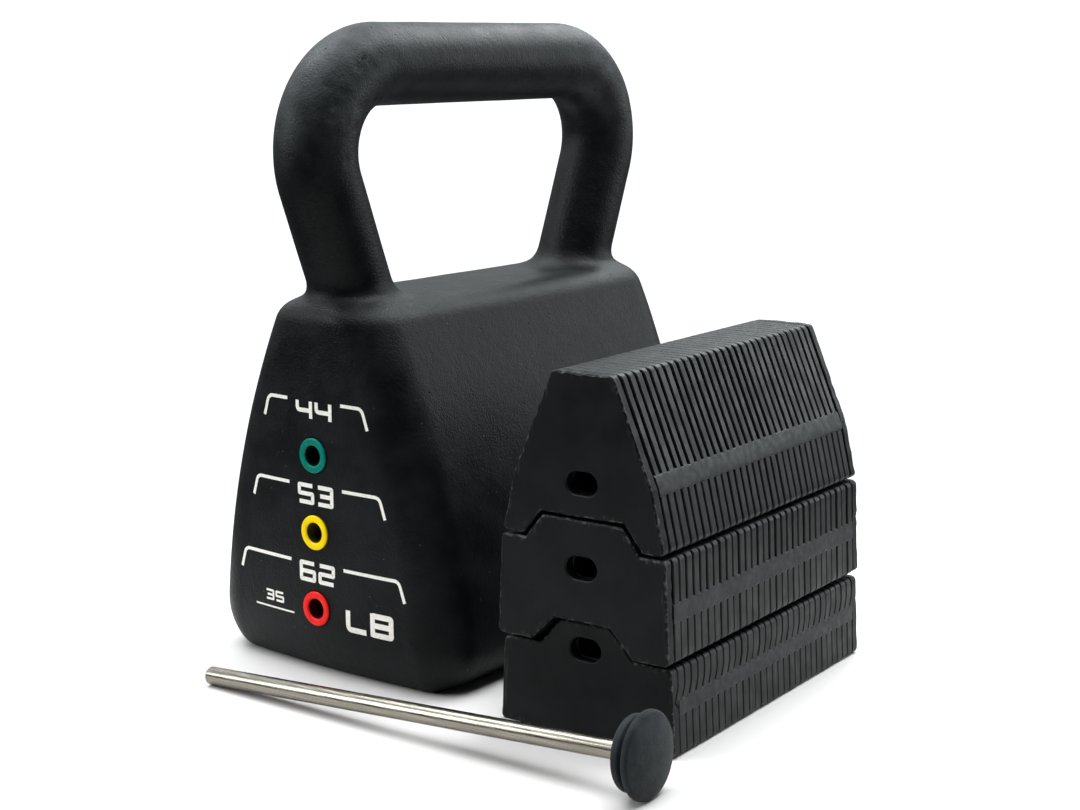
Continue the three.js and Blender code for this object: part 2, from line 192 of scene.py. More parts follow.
# Metres and watts. A glow is (from, to, low, high) over the cosine to its direction, and a
# light is (place, aim, size, watts).
studio = Dims(
    floor_middle=(0.1, -0.02),
    floor_solid=0.29,  # the floor is whole up to here, and has faded into white at its edge
    floor_edge=0.45,
    floor_colour=(0.60, 0.571, 0.560),  # warm enough to even out the lights' tint
    tint=(0.93, 0.98, 1.0),
    white=1.2,  # the backdrop's strength: white to the camera in every channel
    behind=(-0.15, 0.6, 0.015, 1.15),
    horizon=(0.0, 0.42, 0.1, 1.15),
    above=(0.75, 0.97, 0.0, 4.5),
    above_direction=(-0.12, -0.08, 0.99),
    lights={
        "overhead_box": ((0.25, 0.4, 1.1), (0.1, 0.1, 0), (0.7, 0.7), 12),
        "back_box": ((-0.1, 1.05, 0.95), (0, 0, 0.2), (0.8, 0.35), 7.5),
        "right_rear_box": ((0.75, 1.1, 0.4), (0, 0, 0.12), (0.9, 0.45), 5.5),
        "left_rear_box": ((-0.7, 0.0, 1.2), (0, 0, 0.2), (0.6, 0.6), 9),
        "fill_box": ((-1.0, -0.95, 0.65), (0, 0, 0.1), (0.6, 0.6), 10),
    },
)

# ---- places, from the frame -----------------------------------------------------------


def shell_place():
    """The shell's own frame: on the floor under its middle, numbered end at -Y."""
    low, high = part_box("shell_casting")
    middle = (low + high) / 2
    return Matrix.Translation((middle.x, middle.y, 0)) @ Matrix.Rotation(shell.turn, 4, "Z")


def tower_place():
    """The tower's own frame: on the floor under the middle of its front face."""
    low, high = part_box("top_stack_front_plate")
    return Matrix.Translation(((low.x + high.x) / 2, low.y, 0))


def pin_place():
    """The pin's own frame: the rod's tip, with the rod along +Y."""
    joint = next(j for j in frame["joints"] if j["name"] == "pin_slide")
    along = Vector(joint["axis"]).normalized()
    low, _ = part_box("pin_rod")
    spread = [rod.radius * MM * math.sqrt(1 - part * part) for part in along]
    turn = Vector((0, 1, 0)).rotation_difference(along).to_matrix().to_4x4()
    return Matrix.Translation(low + Vector(spread)) @ turn


SHELL = shell_place()
TOWER = tower_place()
PIN = pin_place()

# ---- outlines and solids --------------------------------------------------------------


def rounded(corners, steps=6, closed=True):
    """The outline through (u, v, radius) corners, each rounded by an arc of its radius."""
    points = []
    count = len(corners)
    for i, (u, v, radius) in enumerate(corners):
        here = Vector((u, v))
        if radius == 0 or (not closed and i in (0, count - 1)):
            points.append((u, v))
            continue
        back = (Vector(corners[i - 1][:2]) - here).normalized()
        ahead = (Vector(corners[(i + 1) % count][:2]) - here).normalized()
        half_angle = back.angle(ahead) / 2
        centre = here + (back + ahead).normalized() * (radius / math.sin(half_angle))
        start = here + back * (radius / math.tan(half_angle)) - centre
        end = here + ahead * (radius / math.tan(half_angle)) - centre
        first = math.atan2(start.y, start.x)
        sweep = (math.atan2(end.y, end.x) - first + math.pi) % (2 * math.pi) - math.pi
        for step in range(steps + 1):
            angle = first + sweep * step / steps
            points.append((centre.x + radius * math.cos(angle), centre.y + radius * math.sin(angle)))
    return points


def spaced(points, longest, closed=True):
    """The same outline with no stretch between two points longer than the longest."""
    result = []
    ends = points[1:] + points[:1] if closed else points[1:]
    for start, end in zip(points, ends):
        pieces = max(1, math.ceil(math.dist(start, end) / longest))
        for i in range(pieces):
            t = i / pieces
            result.append(tuple(a + (b - a) * t for a, b in zip(start, end)))
    if not closed:
        result.append(points[-1])
    return result


def turned(profile, sides=96):
    """A solid turned about local Y from (radius, y) points. The profile starts and ends
    on the axis, or closes on itself."""
    verts, rings = [], []
    for radius, y in profile:
        if radius < 1e-6:
            rings.append([len(verts)] * sides)
            verts.append((0.0, y, 0.0))
            continue
        rings.append(list(range(len(verts), len(verts) + sides)))
        for k in range(sides):
            angle = 2 * math.pi * k / sides
            verts.append((radius * math.cos(angle), y, radius * math.sin(angle)))
    if profile[0][0] > 1e-6:
        rings.append(rings[0])
    faces = []
    for low, high in zip(rings, rings[1:]):
        for k in range(sides):
            j = (k + 1) % sides
            corners = dict.fromkeys((low[k], low[j], high[j], high[k]))
            faces.append(tuple(corners))
    return verts, faces


def bands(size, rows, first=0):
    """Quads between closed rows of size vertices, from the vertex numbered first."""
    faces = []
    for low in range(first, first + (rows - 1) * size, size):
        for i in range(size):
            j = (i + 1) % size
            faces.append((low + i, low + j, low + size + j, low + size + i))
    return faces


def prism(outline, start, end):
    """An outline in X and Z pushed along Y."""
    count = len(outline)
    verts = [(x, y, z) for y in (start, end) for x, z in outline]
    return verts, [tuple(range(count)), tuple(range(count, 2 * count))] + bands(count, 2)


def joined(*solids):
    """Several (verts, faces) solids as one."""
    verts, faces = [], []
    for more_verts, more_faces in solids:
        first = len(verts)
        verts.extend(more_verts)
        faces.extend(tuple(i + first for i in face) for face in more_faces)
    return verts, faces


def shifted(solid, x=0.0, y=0.0, z=0.0):
    verts, faces = solid
    return [(a + x, b + y, c + z) for a, b, c in verts], faces


def add_object(name, data):
    thing = bpy.data.objects.new(name, data)
    bpy.context.scene.collection.objects.link(thing)
    return thing


def mesh_object(name, verts, faces, place):
    """A Blender object whose vertices are given in mm in a sub-assembly's frame."""
    points = np.asarray(verts, float) * MM
    turn = np.array(place.to_3x3())
    points = points @ turn.T + np.array(place.translation)
    mesh = bpy.data.meshes.new(name)
    mesh.from_pydata(points.tolist(), [], [tuple(face) for face in faces])
    work = bmesh.new()
    work.from_mesh(mesh)
    bmesh.ops.recalc_face_normals(work, faces=work.faces)
    work.to_mesh(mesh)
    work.free()
    return add_object(name, mesh)


def point_values(thing, name, values):
    """One number for each vertex, for the thing's material to read."""
    attribute = thing.data.attributes.new(name, "FLOAT", "POINT")
    attribute.data.foreach_set("value", np.asarray(values, np.float32))


def finish_piece(thing, body, material, replaces=(), crease=35.0):
    thing.data.shade_smooth()
    thing.data.set_sharp_from_angle(angle=math.radians(crease))
    thing.data.materials.clear()
    thing.data.materials.append(material)
    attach(thing, body)
    if replaces:
        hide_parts(*replaces)
    return thing


def cut(thing, *cutters):
    """Takes each cutter out of the thing, and removes the cutters."""
    for cutter in cutters:
        step = thing.modifiers.new("cut", "BOOLEAN")
        step.operation = "DIFFERENCE"
        step.solver = "EXACT"
        step.object = cutter
    shape = thing.evaluated_get(bpy.context.evaluated_depsgraph_get())
    mesh = bpy.data.meshes.new_from_object(shape)
    thing.modifiers.clear()
    thing.data = mesh
    for cutter in cutters:
        bpy.data.objects.remove(cutter)


# ---- a skin round a distance function -------------------------------------------------


def skin(distance, low, high, step):
    """A closed quad mesh where distance(points) changes sign: one vertex in each grid
    cell that the surface crosses, at the mean of its crossings of the cell's edges."""
    counts = [int(math.ceil((b - a) / step)) + 1 for a, b in zip(low, high)]
    axes = [a + step * np.arange(n) for a, n in zip(low, counts)]
    grid = np.stack(np.meshgrid(*axes, indexing="ij"), -1)
    value = distance(grid.reshape(-1, 3)).reshape(counts)
    cells = [n - 1 for n in counts]

    def part(offset):
        return tuple(slice(o, o + n) for o, n in zip(offset, cells))

    total, hits = np.zeros(cells + [3]), np.zeros(cells)
    for axis in range(3):
        for u in (0, 1):
            for v in (0, 1):
                start = [u, v]
                start.insert(axis, 0)
                end = list(start)
                end[axis] = 1
                a, b = value[part(start)], value[part(end)]
                crosses = (a < 0) != (b < 0)
                share = np.where(crosses, a / np.where(crosses, a - b, 1), 0)
                point = grid[part(start)].copy()
                point[..., axis] += share * step
                total += point * crosses[..., None]
                hits += crosses
    number = np.full(cells, -1)
    number[hits > 0] = np.arange(np.count_nonzero(hits))
    verts = total[hits > 0] / hits[hits > 0][:, None]

    quads = []
    for axis in range(3):
        one, two = [i for i in range(3) if i != axis]
        a = value.take(range(cells[axis]), axis)
        b = value.take(range(1, counts[axis]), axis)
        at = np.argwhere((a < 0) != (b < 0))
        falls = (a < 0)[tuple(at.T)]
        around = []
        for u, v in ((0, 0), (-1, 0), (-1, -1), (0, -1)):
            cell = at.copy()
            cell[:, one] += u
            cell[:, two] += v
            around.append(number[tuple(cell.T)])
        quad = np.stack(around, -1)
        flip = falls if axis == 1 else ~falls
        quads.append(np.where(flip[:, None], quad[:, ::-1], quad))
    return verts, np.concatenate(quads)


def settle(points, distance, rounds=3):
    """Moves points onto the surface along the distance's slope."""
    nudge = 0.05
    for _ in range(rounds):
        value = distance(points)
        slope = np.empty_like(points)
        for axis in range(3):
            ahead, back = points.copy(), points.copy()
            ahead[:, axis] += nudge
            back[:, axis] -= nudge
            slope[:, axis] = (distance(ahead) - distance(back)) / (2 * nudge)
        steep = np.maximum((slope ** 2).sum(1), 0.1)
        points = points - slope * (value / steep)[:, None]
    return points


def relax(points, quads, distance, rounds=8, pull=0.6):
    """Evens out the quads while keeping their vertices on the surface."""
    pairs = np.concatenate([quads[:, [i, (i + 1) % 4]] for i in range(4)])
    valence = np.bincount(pairs[:, 0], minlength=len(points))[:, None]
    for _ in range(rounds):
        around = np.zeros_like(points)
        for axis in range(3):
            around[:, axis] = np.bincount(pairs[:, 0], points[pairs[:, 1], axis], len(points))
        points = settle(points * (1 - pull) + around / valence * pull, distance, 1)
    return settle(points, distance)


# ---- the shell's shape ----------------------------------------------------------------


def foot_distance(side, z, end_share):
    """Rounds the lower edge by a quarter ellipse, wider and lower along the flanks than
    along the end walls."""
    inset = shell.side_foot.inset + (shell.end_foot.inset - shell.side_foot.inset) * end_share
    height = shell.side_foot.height + (shell.end_foot.height - shell.side_foot.height) * end_share
    across = np.maximum((side + inset) / inset, 0)
    up = np.maximum((height - z) / height, 0)
    return (np.hypot(across, up) - 1) * inset


def body_distance(points):
    """Roughly how far each point is outside the body, without handle, holes or cavity."""
    x, y, z = abs(points[:, 0]), abs(points[:, 1]), points[:, 2]
    up = np.clip(z / shell.height, 0, 1)
    half = shell.base_half + (shell.top_half - shell.base_half) * up
    half = half + 4 * shell.bulge * up * (1 - up)
    flat = half - shell.corner
    bow = shell.end_bow * (np.minimum(x, flat) / shell.base_half) ** 2
    across = x - flat
    along = y - (shell.half_length - bow - shell.corner)
    out_across, out_along = np.maximum(across, 0), np.maximum(along, 0)
    side = np.hypot(out_across, out_along) - shell.corner
    side = side + np.minimum(np.maximum(across, along), 0)
    end_share = out_along ** 2 / (out_across ** 2 + out_along ** 2 + 1e-6)
    side = foot_distance(side, z, end_share)
    top = z - shell.height
    rim = shell.top_round
    corner = np.hypot(np.maximum(side + rim, 0), np.maximum(top + rim, 0)) - rim
    return corner + np.minimum(np.maximum(side, top) + rim, 0)


def handle_bend_middle():
    """The centre of a bend as (y, z), and how far it is back from the leg's line."""
    bar_y = handle.leg_at_middle + handle.lean * (handle.bar_z - handle.leg_middle_z)
    back = handle.bend * math.tan((math.pi / 2 + math.atan(handle.lean)) / 2)
    return bar_y - back, handle.bar_z - handle.bend, back


def handle_distance(points):
    """How far each point is outside the handle: two leaning legs, two bends and a bar."""
    x, y, z = points[:, 0], abs(points[:, 1]), points[:, 2]
    tilt = math.atan(handle.lean)
    sweep = math.pi / 2 + tilt
    middle_y, middle_z, back = handle_bend_middle()
    angle = np.arctan2(y - middle_y, z - middle_z)
    angle = np.where(angle < -math.pi / 2, angle + 2 * math.pi, angle)
    angle = np.clip(angle, 0, sweep)
    on_bend = np.hypot(
        y - middle_y - handle.bend * np.sin(angle), z - middle_z - handle.bend * np.cos(angle)
    )
    on_bar = np.hypot(np.maximum(y - middle_y, 0), z - handle.bar_z)
    leg_y = middle_y + back - back * math.sin(tilt)
    leg_z = handle.bar_z - back * math.cos(tilt)
    length = (leg_z - handle.root_z) / math.cos(tilt)
    down = (leg_y - y) * math.sin(tilt) + (leg_z - z) * math.cos(tilt)
    down = np.clip(down, 0, length)
    on_leg = np.hypot(y - leg_y + down * math.sin(tilt), z - leg_z + down * math.cos(tilt))
    return np.hypot(x, np.minimum(np.minimum(on_bend, on_bar), on_leg)) - handle.radius


def casting_distance(points):
    """Body and handle, flowing into each other at the handle's roots."""
    body, grip = body_distance(points), handle_distance(points)
    near = np.maximum(shell.root_blend - abs(body - grip), 0) / shell.root_blend
    return np.minimum(body, grip) - near ** 2 * shell.root_blend / 4


def cast_unevenness(points, normals):
    """The slight waves of a sand casting, and pits where the mould's corner crumbled."""
    waves = np.array([noise.noise(Vector(p) / shell.wave_size) for p in points])
    depth = shell.wave * waves
    dice = random.Random(7)
    for _ in range(shell.pits):
        angle = dice.uniform(*shell.pit_angle)
        side = dice.uniform(*shell.pit_side)
        out = handle_bend_middle()[0] + handle.bend * math.sin(angle)
        out += dice.uniform(*shell.pit_along)
        up = handle.bar_z - handle.bend * (1 - math.cos(angle)) + dice.uniform(*shell.pit_up)
        spot = np.array([side, -out, up])
        away = np.linalg.norm(points - spot, axis=1)
        depth -= dice.uniform(*shell.pit_depth) * (away <= away.min() + 1e-9)
    return points + normals * depth[:, None]


def vertex_normals(points, quads):
    """Unit normals from the quads' diagonals."""
    a = points[quads[:, 2]] - points[quads[:, 0]]
    b = points[quads[:, 3]] - points[quads[:, 1]]
    across = np.cross(a, b)
    normals = np.zeros_like(points)
    for corner in range(4):
        for axis in range(3):
            normals[:, axis] += np.bincount(quads[:, corner], across[:, axis], len(points))
    return normals / np.linalg.norm(normals, axis=1)[:, None]


def cavity_cutter():
    half = [
        (cavity.mouth_half, -OVERCUT, 0),
        (*cavity.shoulder, cavity.wall_round),
        (*cavity.knee, cavity.wall_round),
        (*cavity.ceiling, cavity.ceiling_round),
    ]
    outline = rounded(half + [(-x, z, r) for x, z, r in reversed(half)])
    return mesh_object("cavity_cutter", *prism(outline, -cavity.reach, cavity.reach), SHELL)


def mouth_cutter():
    """Takes the sharp edge off the cavity's mouth."""
    grow = cavity.mouth_chamfer
    verts = []
    for z, more in ((-1.0, grow + 1.0), (grow, 0.0)):
        for sx, sy in ((-1, -1), (1, -1), (1, 1), (-1, 1)):
            verts.append((sx * (cavity.mouth_half + more), sy * (cavity.reach + more), z))
    return mesh_object("mouth_cutter", verts, [(0, 1, 2, 3), (4, 5, 6, 7)] + bands(4, 2), SHELL)


def end_face_y(z):
    """Where the numbered end wall stands at the middle of its width, at height z."""
    foot = shell.end_foot
    up = max((foot.height - z) / foot.height, 0)
    return -(shell.half_length - foot.inset * (1 - math.sqrt(1 - up * up)))


def hole_heights():
    return [pin_hole.lowest + i * SLOT_PITCH for i in range(3)]


def hole_cutter():
    """Three stepped holes in the numbered end wall and three plain ones opposite."""
    solids = []
    inner = -cavity.reach + OVERCUT
    for z in hole_heights():
        face = end_face_y(z)
        outside = face - OVERCUT
        seat = face + pin_hole.counterbore_depth
        front = [(0, outside), (pin_hole.counterbore, outside), (pin_hole.counterbore, seat),
                 (pin_hole.radius, seat), (pin_hole.radius, inner), (0, inner)]
        flare = -face - pin_hole.rear_chamfer
        wide = pin_hole.rear_chamfer + OVERCUT
        rear = [(0, -inner), (pin_hole.rear_radius, -inner), (pin_hole.rear_radius, flare),
                (pin_hole.rear_radius + wide, flare + wide), (0, flare + wide)]
        solids.append(shifted(turned(front, 64), z=z))
        solids.append(shifted(turned(rear, 48), z=z))
    return mesh_object("hole_cutter", *joined(*solids), SHELL)


def make_casting(material):
    margin = 6.0
    widest = handle_bend_middle()[0] + handle.bend + handle.radius
    low = (-shell.base_half - margin, -widest - margin, -margin)
    high = (-low[0], -low[1], handle.bar_z + handle.radius + margin)
    points, quads = skin(casting_distance, low, high, shell.grid)
    points = relax(settle(points, casting_distance), quads, casting_distance)
    points = cast_unevenness(points, vertex_normals(points, quads))
    points[:, 2] = np.maximum(points[:, 2], 0)
    casting = mesh_object("kettlebell_shell", points, quads.tolist(), SHELL)
    cut(casting, cavity_cutter(), mouth_cutter(), hole_cutter())
    return finish_piece(casting, "shell", material, ["shell_casting"], crease=40)


def make_bushings(materials):
    """A flanged plastic bushing in each front hole, its lips rounded."""
    names = ("lower", "middle", "upper")
    colours = ("red_plastic", "yellow_plastic", "green_plastic")
    for name, colour, z in zip(names, colours, hole_heights()):
        face = -shell.half_length - bushing.proud
        under = face + bushing.flange_thick
        end = under + bushing.length
        profile = rounded([
            (bushing.bore, end, bushing.edge),
            (bushing.bore, face, bushing.lip),
            (bushing.flange, face, bushing.rim),
            (bushing.flange, under, bushing.under),
            (bushing.barrel, under, 0),
            (bushing.barrel, end, bushing.edge),
        ], steps=5)
        verts, faces = turned(profile)
        ring = mesh_object(f"{name}_bushing", *shifted((verts, faces), z=z), SHELL)
        # Painted shade: how far each point lies down the bore, where its colour is darkened to stand
        # for shadow.
        shade_at = face + bushing.dark_from
        shade_share = [np.clip((y - shade_at) / bushing.dark_over, 0, 1) for _, y, _ in verts]
        point_values(ring, "depth", shade_share)
        finish_piece(ring, "shell", materials[colour], [f"{name}_pin_bushing"])


# ---- printed marks --------------------------------------------------------------------

# Numerals and letters on a cell one wide and one high, as strokes through their corners.
GLYPHS = {
    "2": [[(0, 1), (1, 1), (1, 0.5), (0, 0.5), (0, 0), (1, 0)]],
    "3": [[(0, 1), (1, 1), (1, 0), (0, 0)], [(0.15, 0.5), (1, 0.5)]],
    "4": [[(0, 1), (0, 0.45), (1, 0.45)], [(1, 1), (1, 0)]],
    "5": [[(1, 1), (0, 1), (0, 0.5), (1, 0.5), (1, 0), (0, 0)]],
    "6": [[(1, 1), (0, 1), (0, 0), (1, 0), (1, 0.5), (0, 0.5)]],
    "B": [[(0, 1), (1, 1), (1, 0), (0, 0)], [(0, -0.12), (0, 1.12)], [(0, 0.5), (1, 0.5)]],
    "L": [[(0, 1), (0, 0), (1, 0)]],
}
ROUND_CORNERS = {"4": 0.7, "L": 0.6, "B": 0.3}  # in line widths
FINE_CORNER = 0.15  # on every other character
marks = Dims(
    shift=0.6,  # the printing sits this far to the right of the holes
    weights=(("44", 123.6, 27.6), ("53", 86.1, 36.4), ("62", 50.9, 46.2)),
    number=Dims(left=-10.0, below=8.6, width=9.9, height=9.4, space=1.5, line=1.9),
    unit=Dims(left=17.2, base=23.6, width=12.6, height=11.0, space=1.2, line=2.5),
    small=Dims(left=-32.7, base=29.2, width=5.5, height=5.0, space=0.9, line=1.0),
    rule=Dims(left=-39.4, right=-14.4, height=26.2, line=0.8),
    bracket_inner=15.8,
    bracket_drop=9.2,
    bracket_lean=3.0,
    bracket_round=3.2,
    bracket_line=1.5,
    proud=0.09,
    layer=0.004,  # strokes that cross differ in height by this much
    layers=7,
    sunk=0.35,
    longest_edge=1.6,
)


def face_points(flat_points, rounds=12):
    """Points on the numbered end wall straight ahead of (x, z) points."""
    spots = np.array([(x, -shell.half_length, z) for x, z in flat_points])
    for _ in range(rounds):
        spots[:, 1] += casting_distance(spots)
    return spots


def stroke(path, line, lift, corner_round):
    """A printed line of even width along a path of (x, z) corners, as a thin solid."""
    corners = [(x, z, corner_round) for x, z in path]
    points = rounded(corners, steps=4, closed=False)
    points = spaced(points, marks.longest_edge, closed=False)
    left, right = [], []
    for i, (x, z) in enumerate(points):
        before = Vector(points[max(i - 1, 0)])
        after = Vector(points[min(i + 1, len(points) - 1)])
        side = (after - before).normalized().orthogonal() * line / 2
        left.append((x + side.x, z + side.y))
        right.append((x - side.x, z - side.y))
    count = len(points)
    surface = face_points(left + right)
    top = surface - (0, lift, 0)
    under = surface + (0, marks.sunk, 0)
    faces = []
    for i in range(count - 1):
        a, b, c, d = i, i + 1, count + i + 1, count + i
        below = [n + 2 * count for n in (a, b, c, d)]
        faces += [(a, b, c, d), tuple(below)]
        faces += [(a, b, below[1], below[0]), (d, c, below[2], below[3])]
    for i in (0, count - 1):
        faces.append((i, i + count, i + 3 * count, i + 2 * count))
    return np.concatenate([top, under]).tolist(), faces


def text_strokes(text, base, style):
    """Each character's strokes, drawn inside its cell by half the line."""
    line = style.line
    wide, tall = style.width - line, style.height - line
    strokes = []
    for i, character in enumerate(text):
        x0 = style.left + i * (style.width + style.space) + line / 2
        z0 = base + line / 2
        corner_round = line * ROUND_CORNERS.get(character, FINE_CORNER)
        for cells in GLYPHS[character]:
            path = [(x0 + u * wide, z0 + v * tall) for u, v in cells]
            strokes.append((path, line, corner_round))
    return strokes


def bracket_strokes(corner_half, top):
    """The two halves of a bracket: a level line and a leg that leans outwards."""
    paths = []
    for side in (-1, 1):
        paths.append([
            (marks.shift + side * marks.bracket_inner, top),
            (marks.shift + side * corner_half, top),
            (marks.shift + side * (corner_half + marks.bracket_lean), top - marks.bracket_drop),
        ])
    return [(path, marks.bracket_line, marks.bracket_round) for path in paths]


def make_marks(material):
    """The weight at each hole with its bracket, the unit and the empty shell's weight."""
    lines = []
    for text, bracket_top, corner_half in marks.weights:
        lines += bracket_strokes(corner_half, bracket_top)
        lines += text_strokes(text, bracket_top - marks.number.below, marks.number)
    lines += text_strokes("LB", marks.unit.base, marks.unit)
    lines += text_strokes("35", marks.small.base, marks.small)
    rule = [(marks.rule.left, marks.rule.height), (marks.rule.right, marks.rule.height)]
    lines.append((rule, marks.rule.line, 0))
    solids = []
    for i, (path, line, corner_round) in enumerate(lines):
        lift = marks.proud + marks.layer * (i % marks.layers)
        solids.append(stroke(path, line, lift, corner_round))
    printing = mesh_object("printed_marks", *joined(*solids), SHELL)
    finish_piece(printing, "shell", material)


# ---- weight stacks --------------------------------------------------------------------


def stack_outline(stack):
    """A stack's cross-section, anticlockwise from the underside, as (x, z) points."""
    half = [*stack.notch, *stack.flank, *stack.hump]
    whole = half + [(-x, z, r) for x, z, r in reversed(half)]
    return np.array(spaced(rounded(whole, steps=4), tower.longest_edge))


def outward(outline):
    """Unit normals pointing out of an anticlockwise outline."""
    ahead = np.roll(outline, -1, 0) - outline
    back = outline - np.roll(outline, 1, 0)
    ahead /= np.linalg.norm(ahead, axis=1)[:, None]
    back /= np.linalg.norm(back, axis=1)[:, None]
    along = ahead + back
    along /= np.linalg.norm(along, axis=1)[:, None]
    return np.stack([along[:, 1], -along[:, 0]], -1)


def safe_inset(outline, normal, wanted, rounds=24, shrink=0.9, margin=0.95):
    """How far in each point can go, up to wanted, before the outline's inside crosses itself."""
    along = np.roll(outline, -1, 0) - outline
    length = (along ** 2).sum(1)
    inset = np.full(len(outline), wanted)
    for _ in range(rounds):
        moved = outline - normal * inset[:, None]
        offset = moved[:, None] - outline[None]
        share = np.clip((offset * along).sum(2) / length, 0, 1)
        clear = np.linalg.norm(offset - share[..., None] * along, axis=2).min(1)
        inset = np.where(clear < inset * 0.97, inset * shrink, inset)
    return inset * margin


def flank_half(stack, z):
    """Half width of a stack's flank at height z."""
    halves, heights, _ = zip(*stack.flank)
    return np.interp(z, heights, halves)


def slot_ring(stack):
    """The pin slot's outline: two half circles joined by straight sides."""
    straight = tower.slot_half - tower.slot_radius
    steps = 16
    ring = []
    for side in (1, -1):
        for step in range(steps + 1):
            angle = math.pi * (step / steps - 0.5)
            x = side * (straight + tower.slot_radius * math.cos(angle))
            ring.append((x, stack.slot_z + side * tower.slot_radius * math.sin(angle)))
    return np.array(ring)


def cap_faces(outer, inner, first_outer, first_inner):
    """Triangles over a flat outline with a hole in it."""
    loops = [[Vector((x, z, 0)) for x, z in loop] for loop in (outer, inner)]
    count = len(outer)
    numbers = list(range(first_outer, first_outer + count))
    numbers += list(range(first_inner, first_inner + len(inner)))
    return [tuple(numbers[i] for i in face) for face in geometry.tessellate_polygon(loops)]


def flank_edges(stack, edge, outline, normal):
    """The gap between two sheets, its depth and how far it moves along Y, at each point."""
    x, z = outline[:, 0], outline[:, 1]
    facing = np.interp(abs(normal[:, 0]), sheet.facing, (0, 1))
    on_flank = facing * (abs(x) > flank_half(stack, z) - sheet.flank_reach)
    above = z > stack.seam_z
    gap = np.where(above, *edge.gap) * on_flank + sheet.top_gap * (1 - on_flank)
    depth = np.where(above, *edge.depth) * on_flank + sheet.top_depth * (1 - on_flank)
    past_seam = (z - stack.seam_z - stack.seam_reach[1]) / sheet.hook_reach
    over_seam = np.clip(1 - past_seam, 0, 1) * above * on_flank
    return gap, depth, -edge.hook * over_seam ** 2


def plate_side(y, inwards, out, rough, band):
    """The rings (y, inset, wear) from a plate's face to its rim."""
    none = np.zeros(len(out))
    face_wear, rim_wear = sheet.plate_wear
    return [
        (none + y, band, none),
        (none + y, np.minimum(out + rough, sheet.plate_band_used * band), none + face_wear),
        (none + y + inwards * rough * sheet.plate_bevel_depth, out, none + rim_wear),
    ]


def gap_side(y, inwards, out, depth):
    """The rings (y, inset, wear) from the foot of a gap to its sheet's rim."""
    none = np.zeros(len(out))
    side_wear, rim_wear = sheet.rim_wear
    return [
        (y, np.maximum(depth, out + sheet.bevel + 0.05), none),
        (y, out + sheet.bevel, none + side_wear),
        (y + inwards * sheet.bevel, out, none + rim_wear),
    ]


def sheet_rings(stack, edge, outline, normal, first, last, dice):
    """The rings (y, inset, wear) of sheets first to last, from front to rear. Each value
    is an array over the outline's points."""
    thick = stack.length / tower.sheet_count
    gap, depth, hook = flank_edges(stack, edge, outline, normal)
    band = safe_inset(outline, normal, sheet.plate_band)
    none = np.zeros(len(outline))
    rings = []
    for i in range(first, last + 1):
        is_front, is_rear = i == 0, i == tower.sheet_count - 1
        uneven = np.array([
            noise.noise(Vector((*(point * sheet.ragged_rate), i * sheet.ragged_step)))
            for point in outline
        ])
        spread = gap * dice.uniform(*sheet.gap_change)
        sideways = dice.uniform(-edge.stray, edge.stray)
        upwards = dice.uniform(-edge.stray, 0)
        ragged = sheet.plate_ragged if is_front or is_rear else sheet.ragged
        out = -(normal[:, 0] * sideways + normal[:, 1] * upwards) + ragged * uneven
        out = np.maximum(out + sheet.inset, 0)
        rough = sheet.plate_bevel * (1 + sheet.plate_bevel_change * uneven)
        start = stack.front + i * thick + spread / 2 + hook
        end = stack.front + (i + 1) * thick - spread / 2 + hook
        if is_front:
            rings += plate_side(stack.front, 1, out, rough, band)
        else:
            if i == first:
                rings.append((start - spread + sheet.rest, depth, none))
            rings += gap_side(start, 1, out, depth)
        if is_rear:
            rings += plate_side(stack.front + stack.length, -1, out, rough, band)[::-1]
        else:
            rings += gap_side(end, -1, out, depth)[::-1]
            if i == last:
                rings.append((end + spread - sheet.rest, depth, none))
    return rings


def make_sheets(name, stack, edge, first, last, material, node, dice):
    """Sheets first to last of a stack as one ribbed solid with the pin slot through it."""
    outline = stack_outline(stack)
    normal = outward(outline)
    rings = sheet_rings(stack, edge, outline, normal, first, last, dice)
    count = len(outline)
    verts, wear = [], []
    for y, inset, worn in rings:
        flat = outline - normal * inset[:, None]
        verts += np.stack([flat[:, 0], y, flat[:, 1]], -1).tolist()
        wear += list(worn)
    slot = slot_ring(stack)
    first_slot = len(verts)
    lip = tower.slot_lip
    for ring, grow, push in ((0, lip, 0), (0, 0, lip), (-1, 0, -lip), (-1, lip, 0)):
        y = float(np.mean(rings[ring][0])) + push
        middle = np.array([0, stack.slot_z])
        grown = middle + (slot - middle) * (1 + grow / tower.slot_radius)
        verts += np.stack([grown[:, 0], np.full(len(slot), y), grown[:, 1]], -1).tolist()
        wear += [0.0] * len(slot)
    size = len(slot)
    faces = bands(count, len(rings)) + bands(size, 4, first_slot)
    for ring, at, near in ((0, 0, 0), (-1, (len(rings) - 1) * count, 3)):
        flat = outline - normal * rings[ring][1][:, None]
        hole = [(verts[first_slot + near * size + i][0], verts[first_slot + near * size + i][2])
                for i in range(size)]
        faces += cap_faces(flat, hole, at, first_slot + near * size)
    block = mesh_object(name, verts, faces, TOWER)
    point_values(block, "wear", wear)
    body = next(b for b in stacks if name.startswith(b))
    return finish_piece(block, body, material, [node], crease=30)


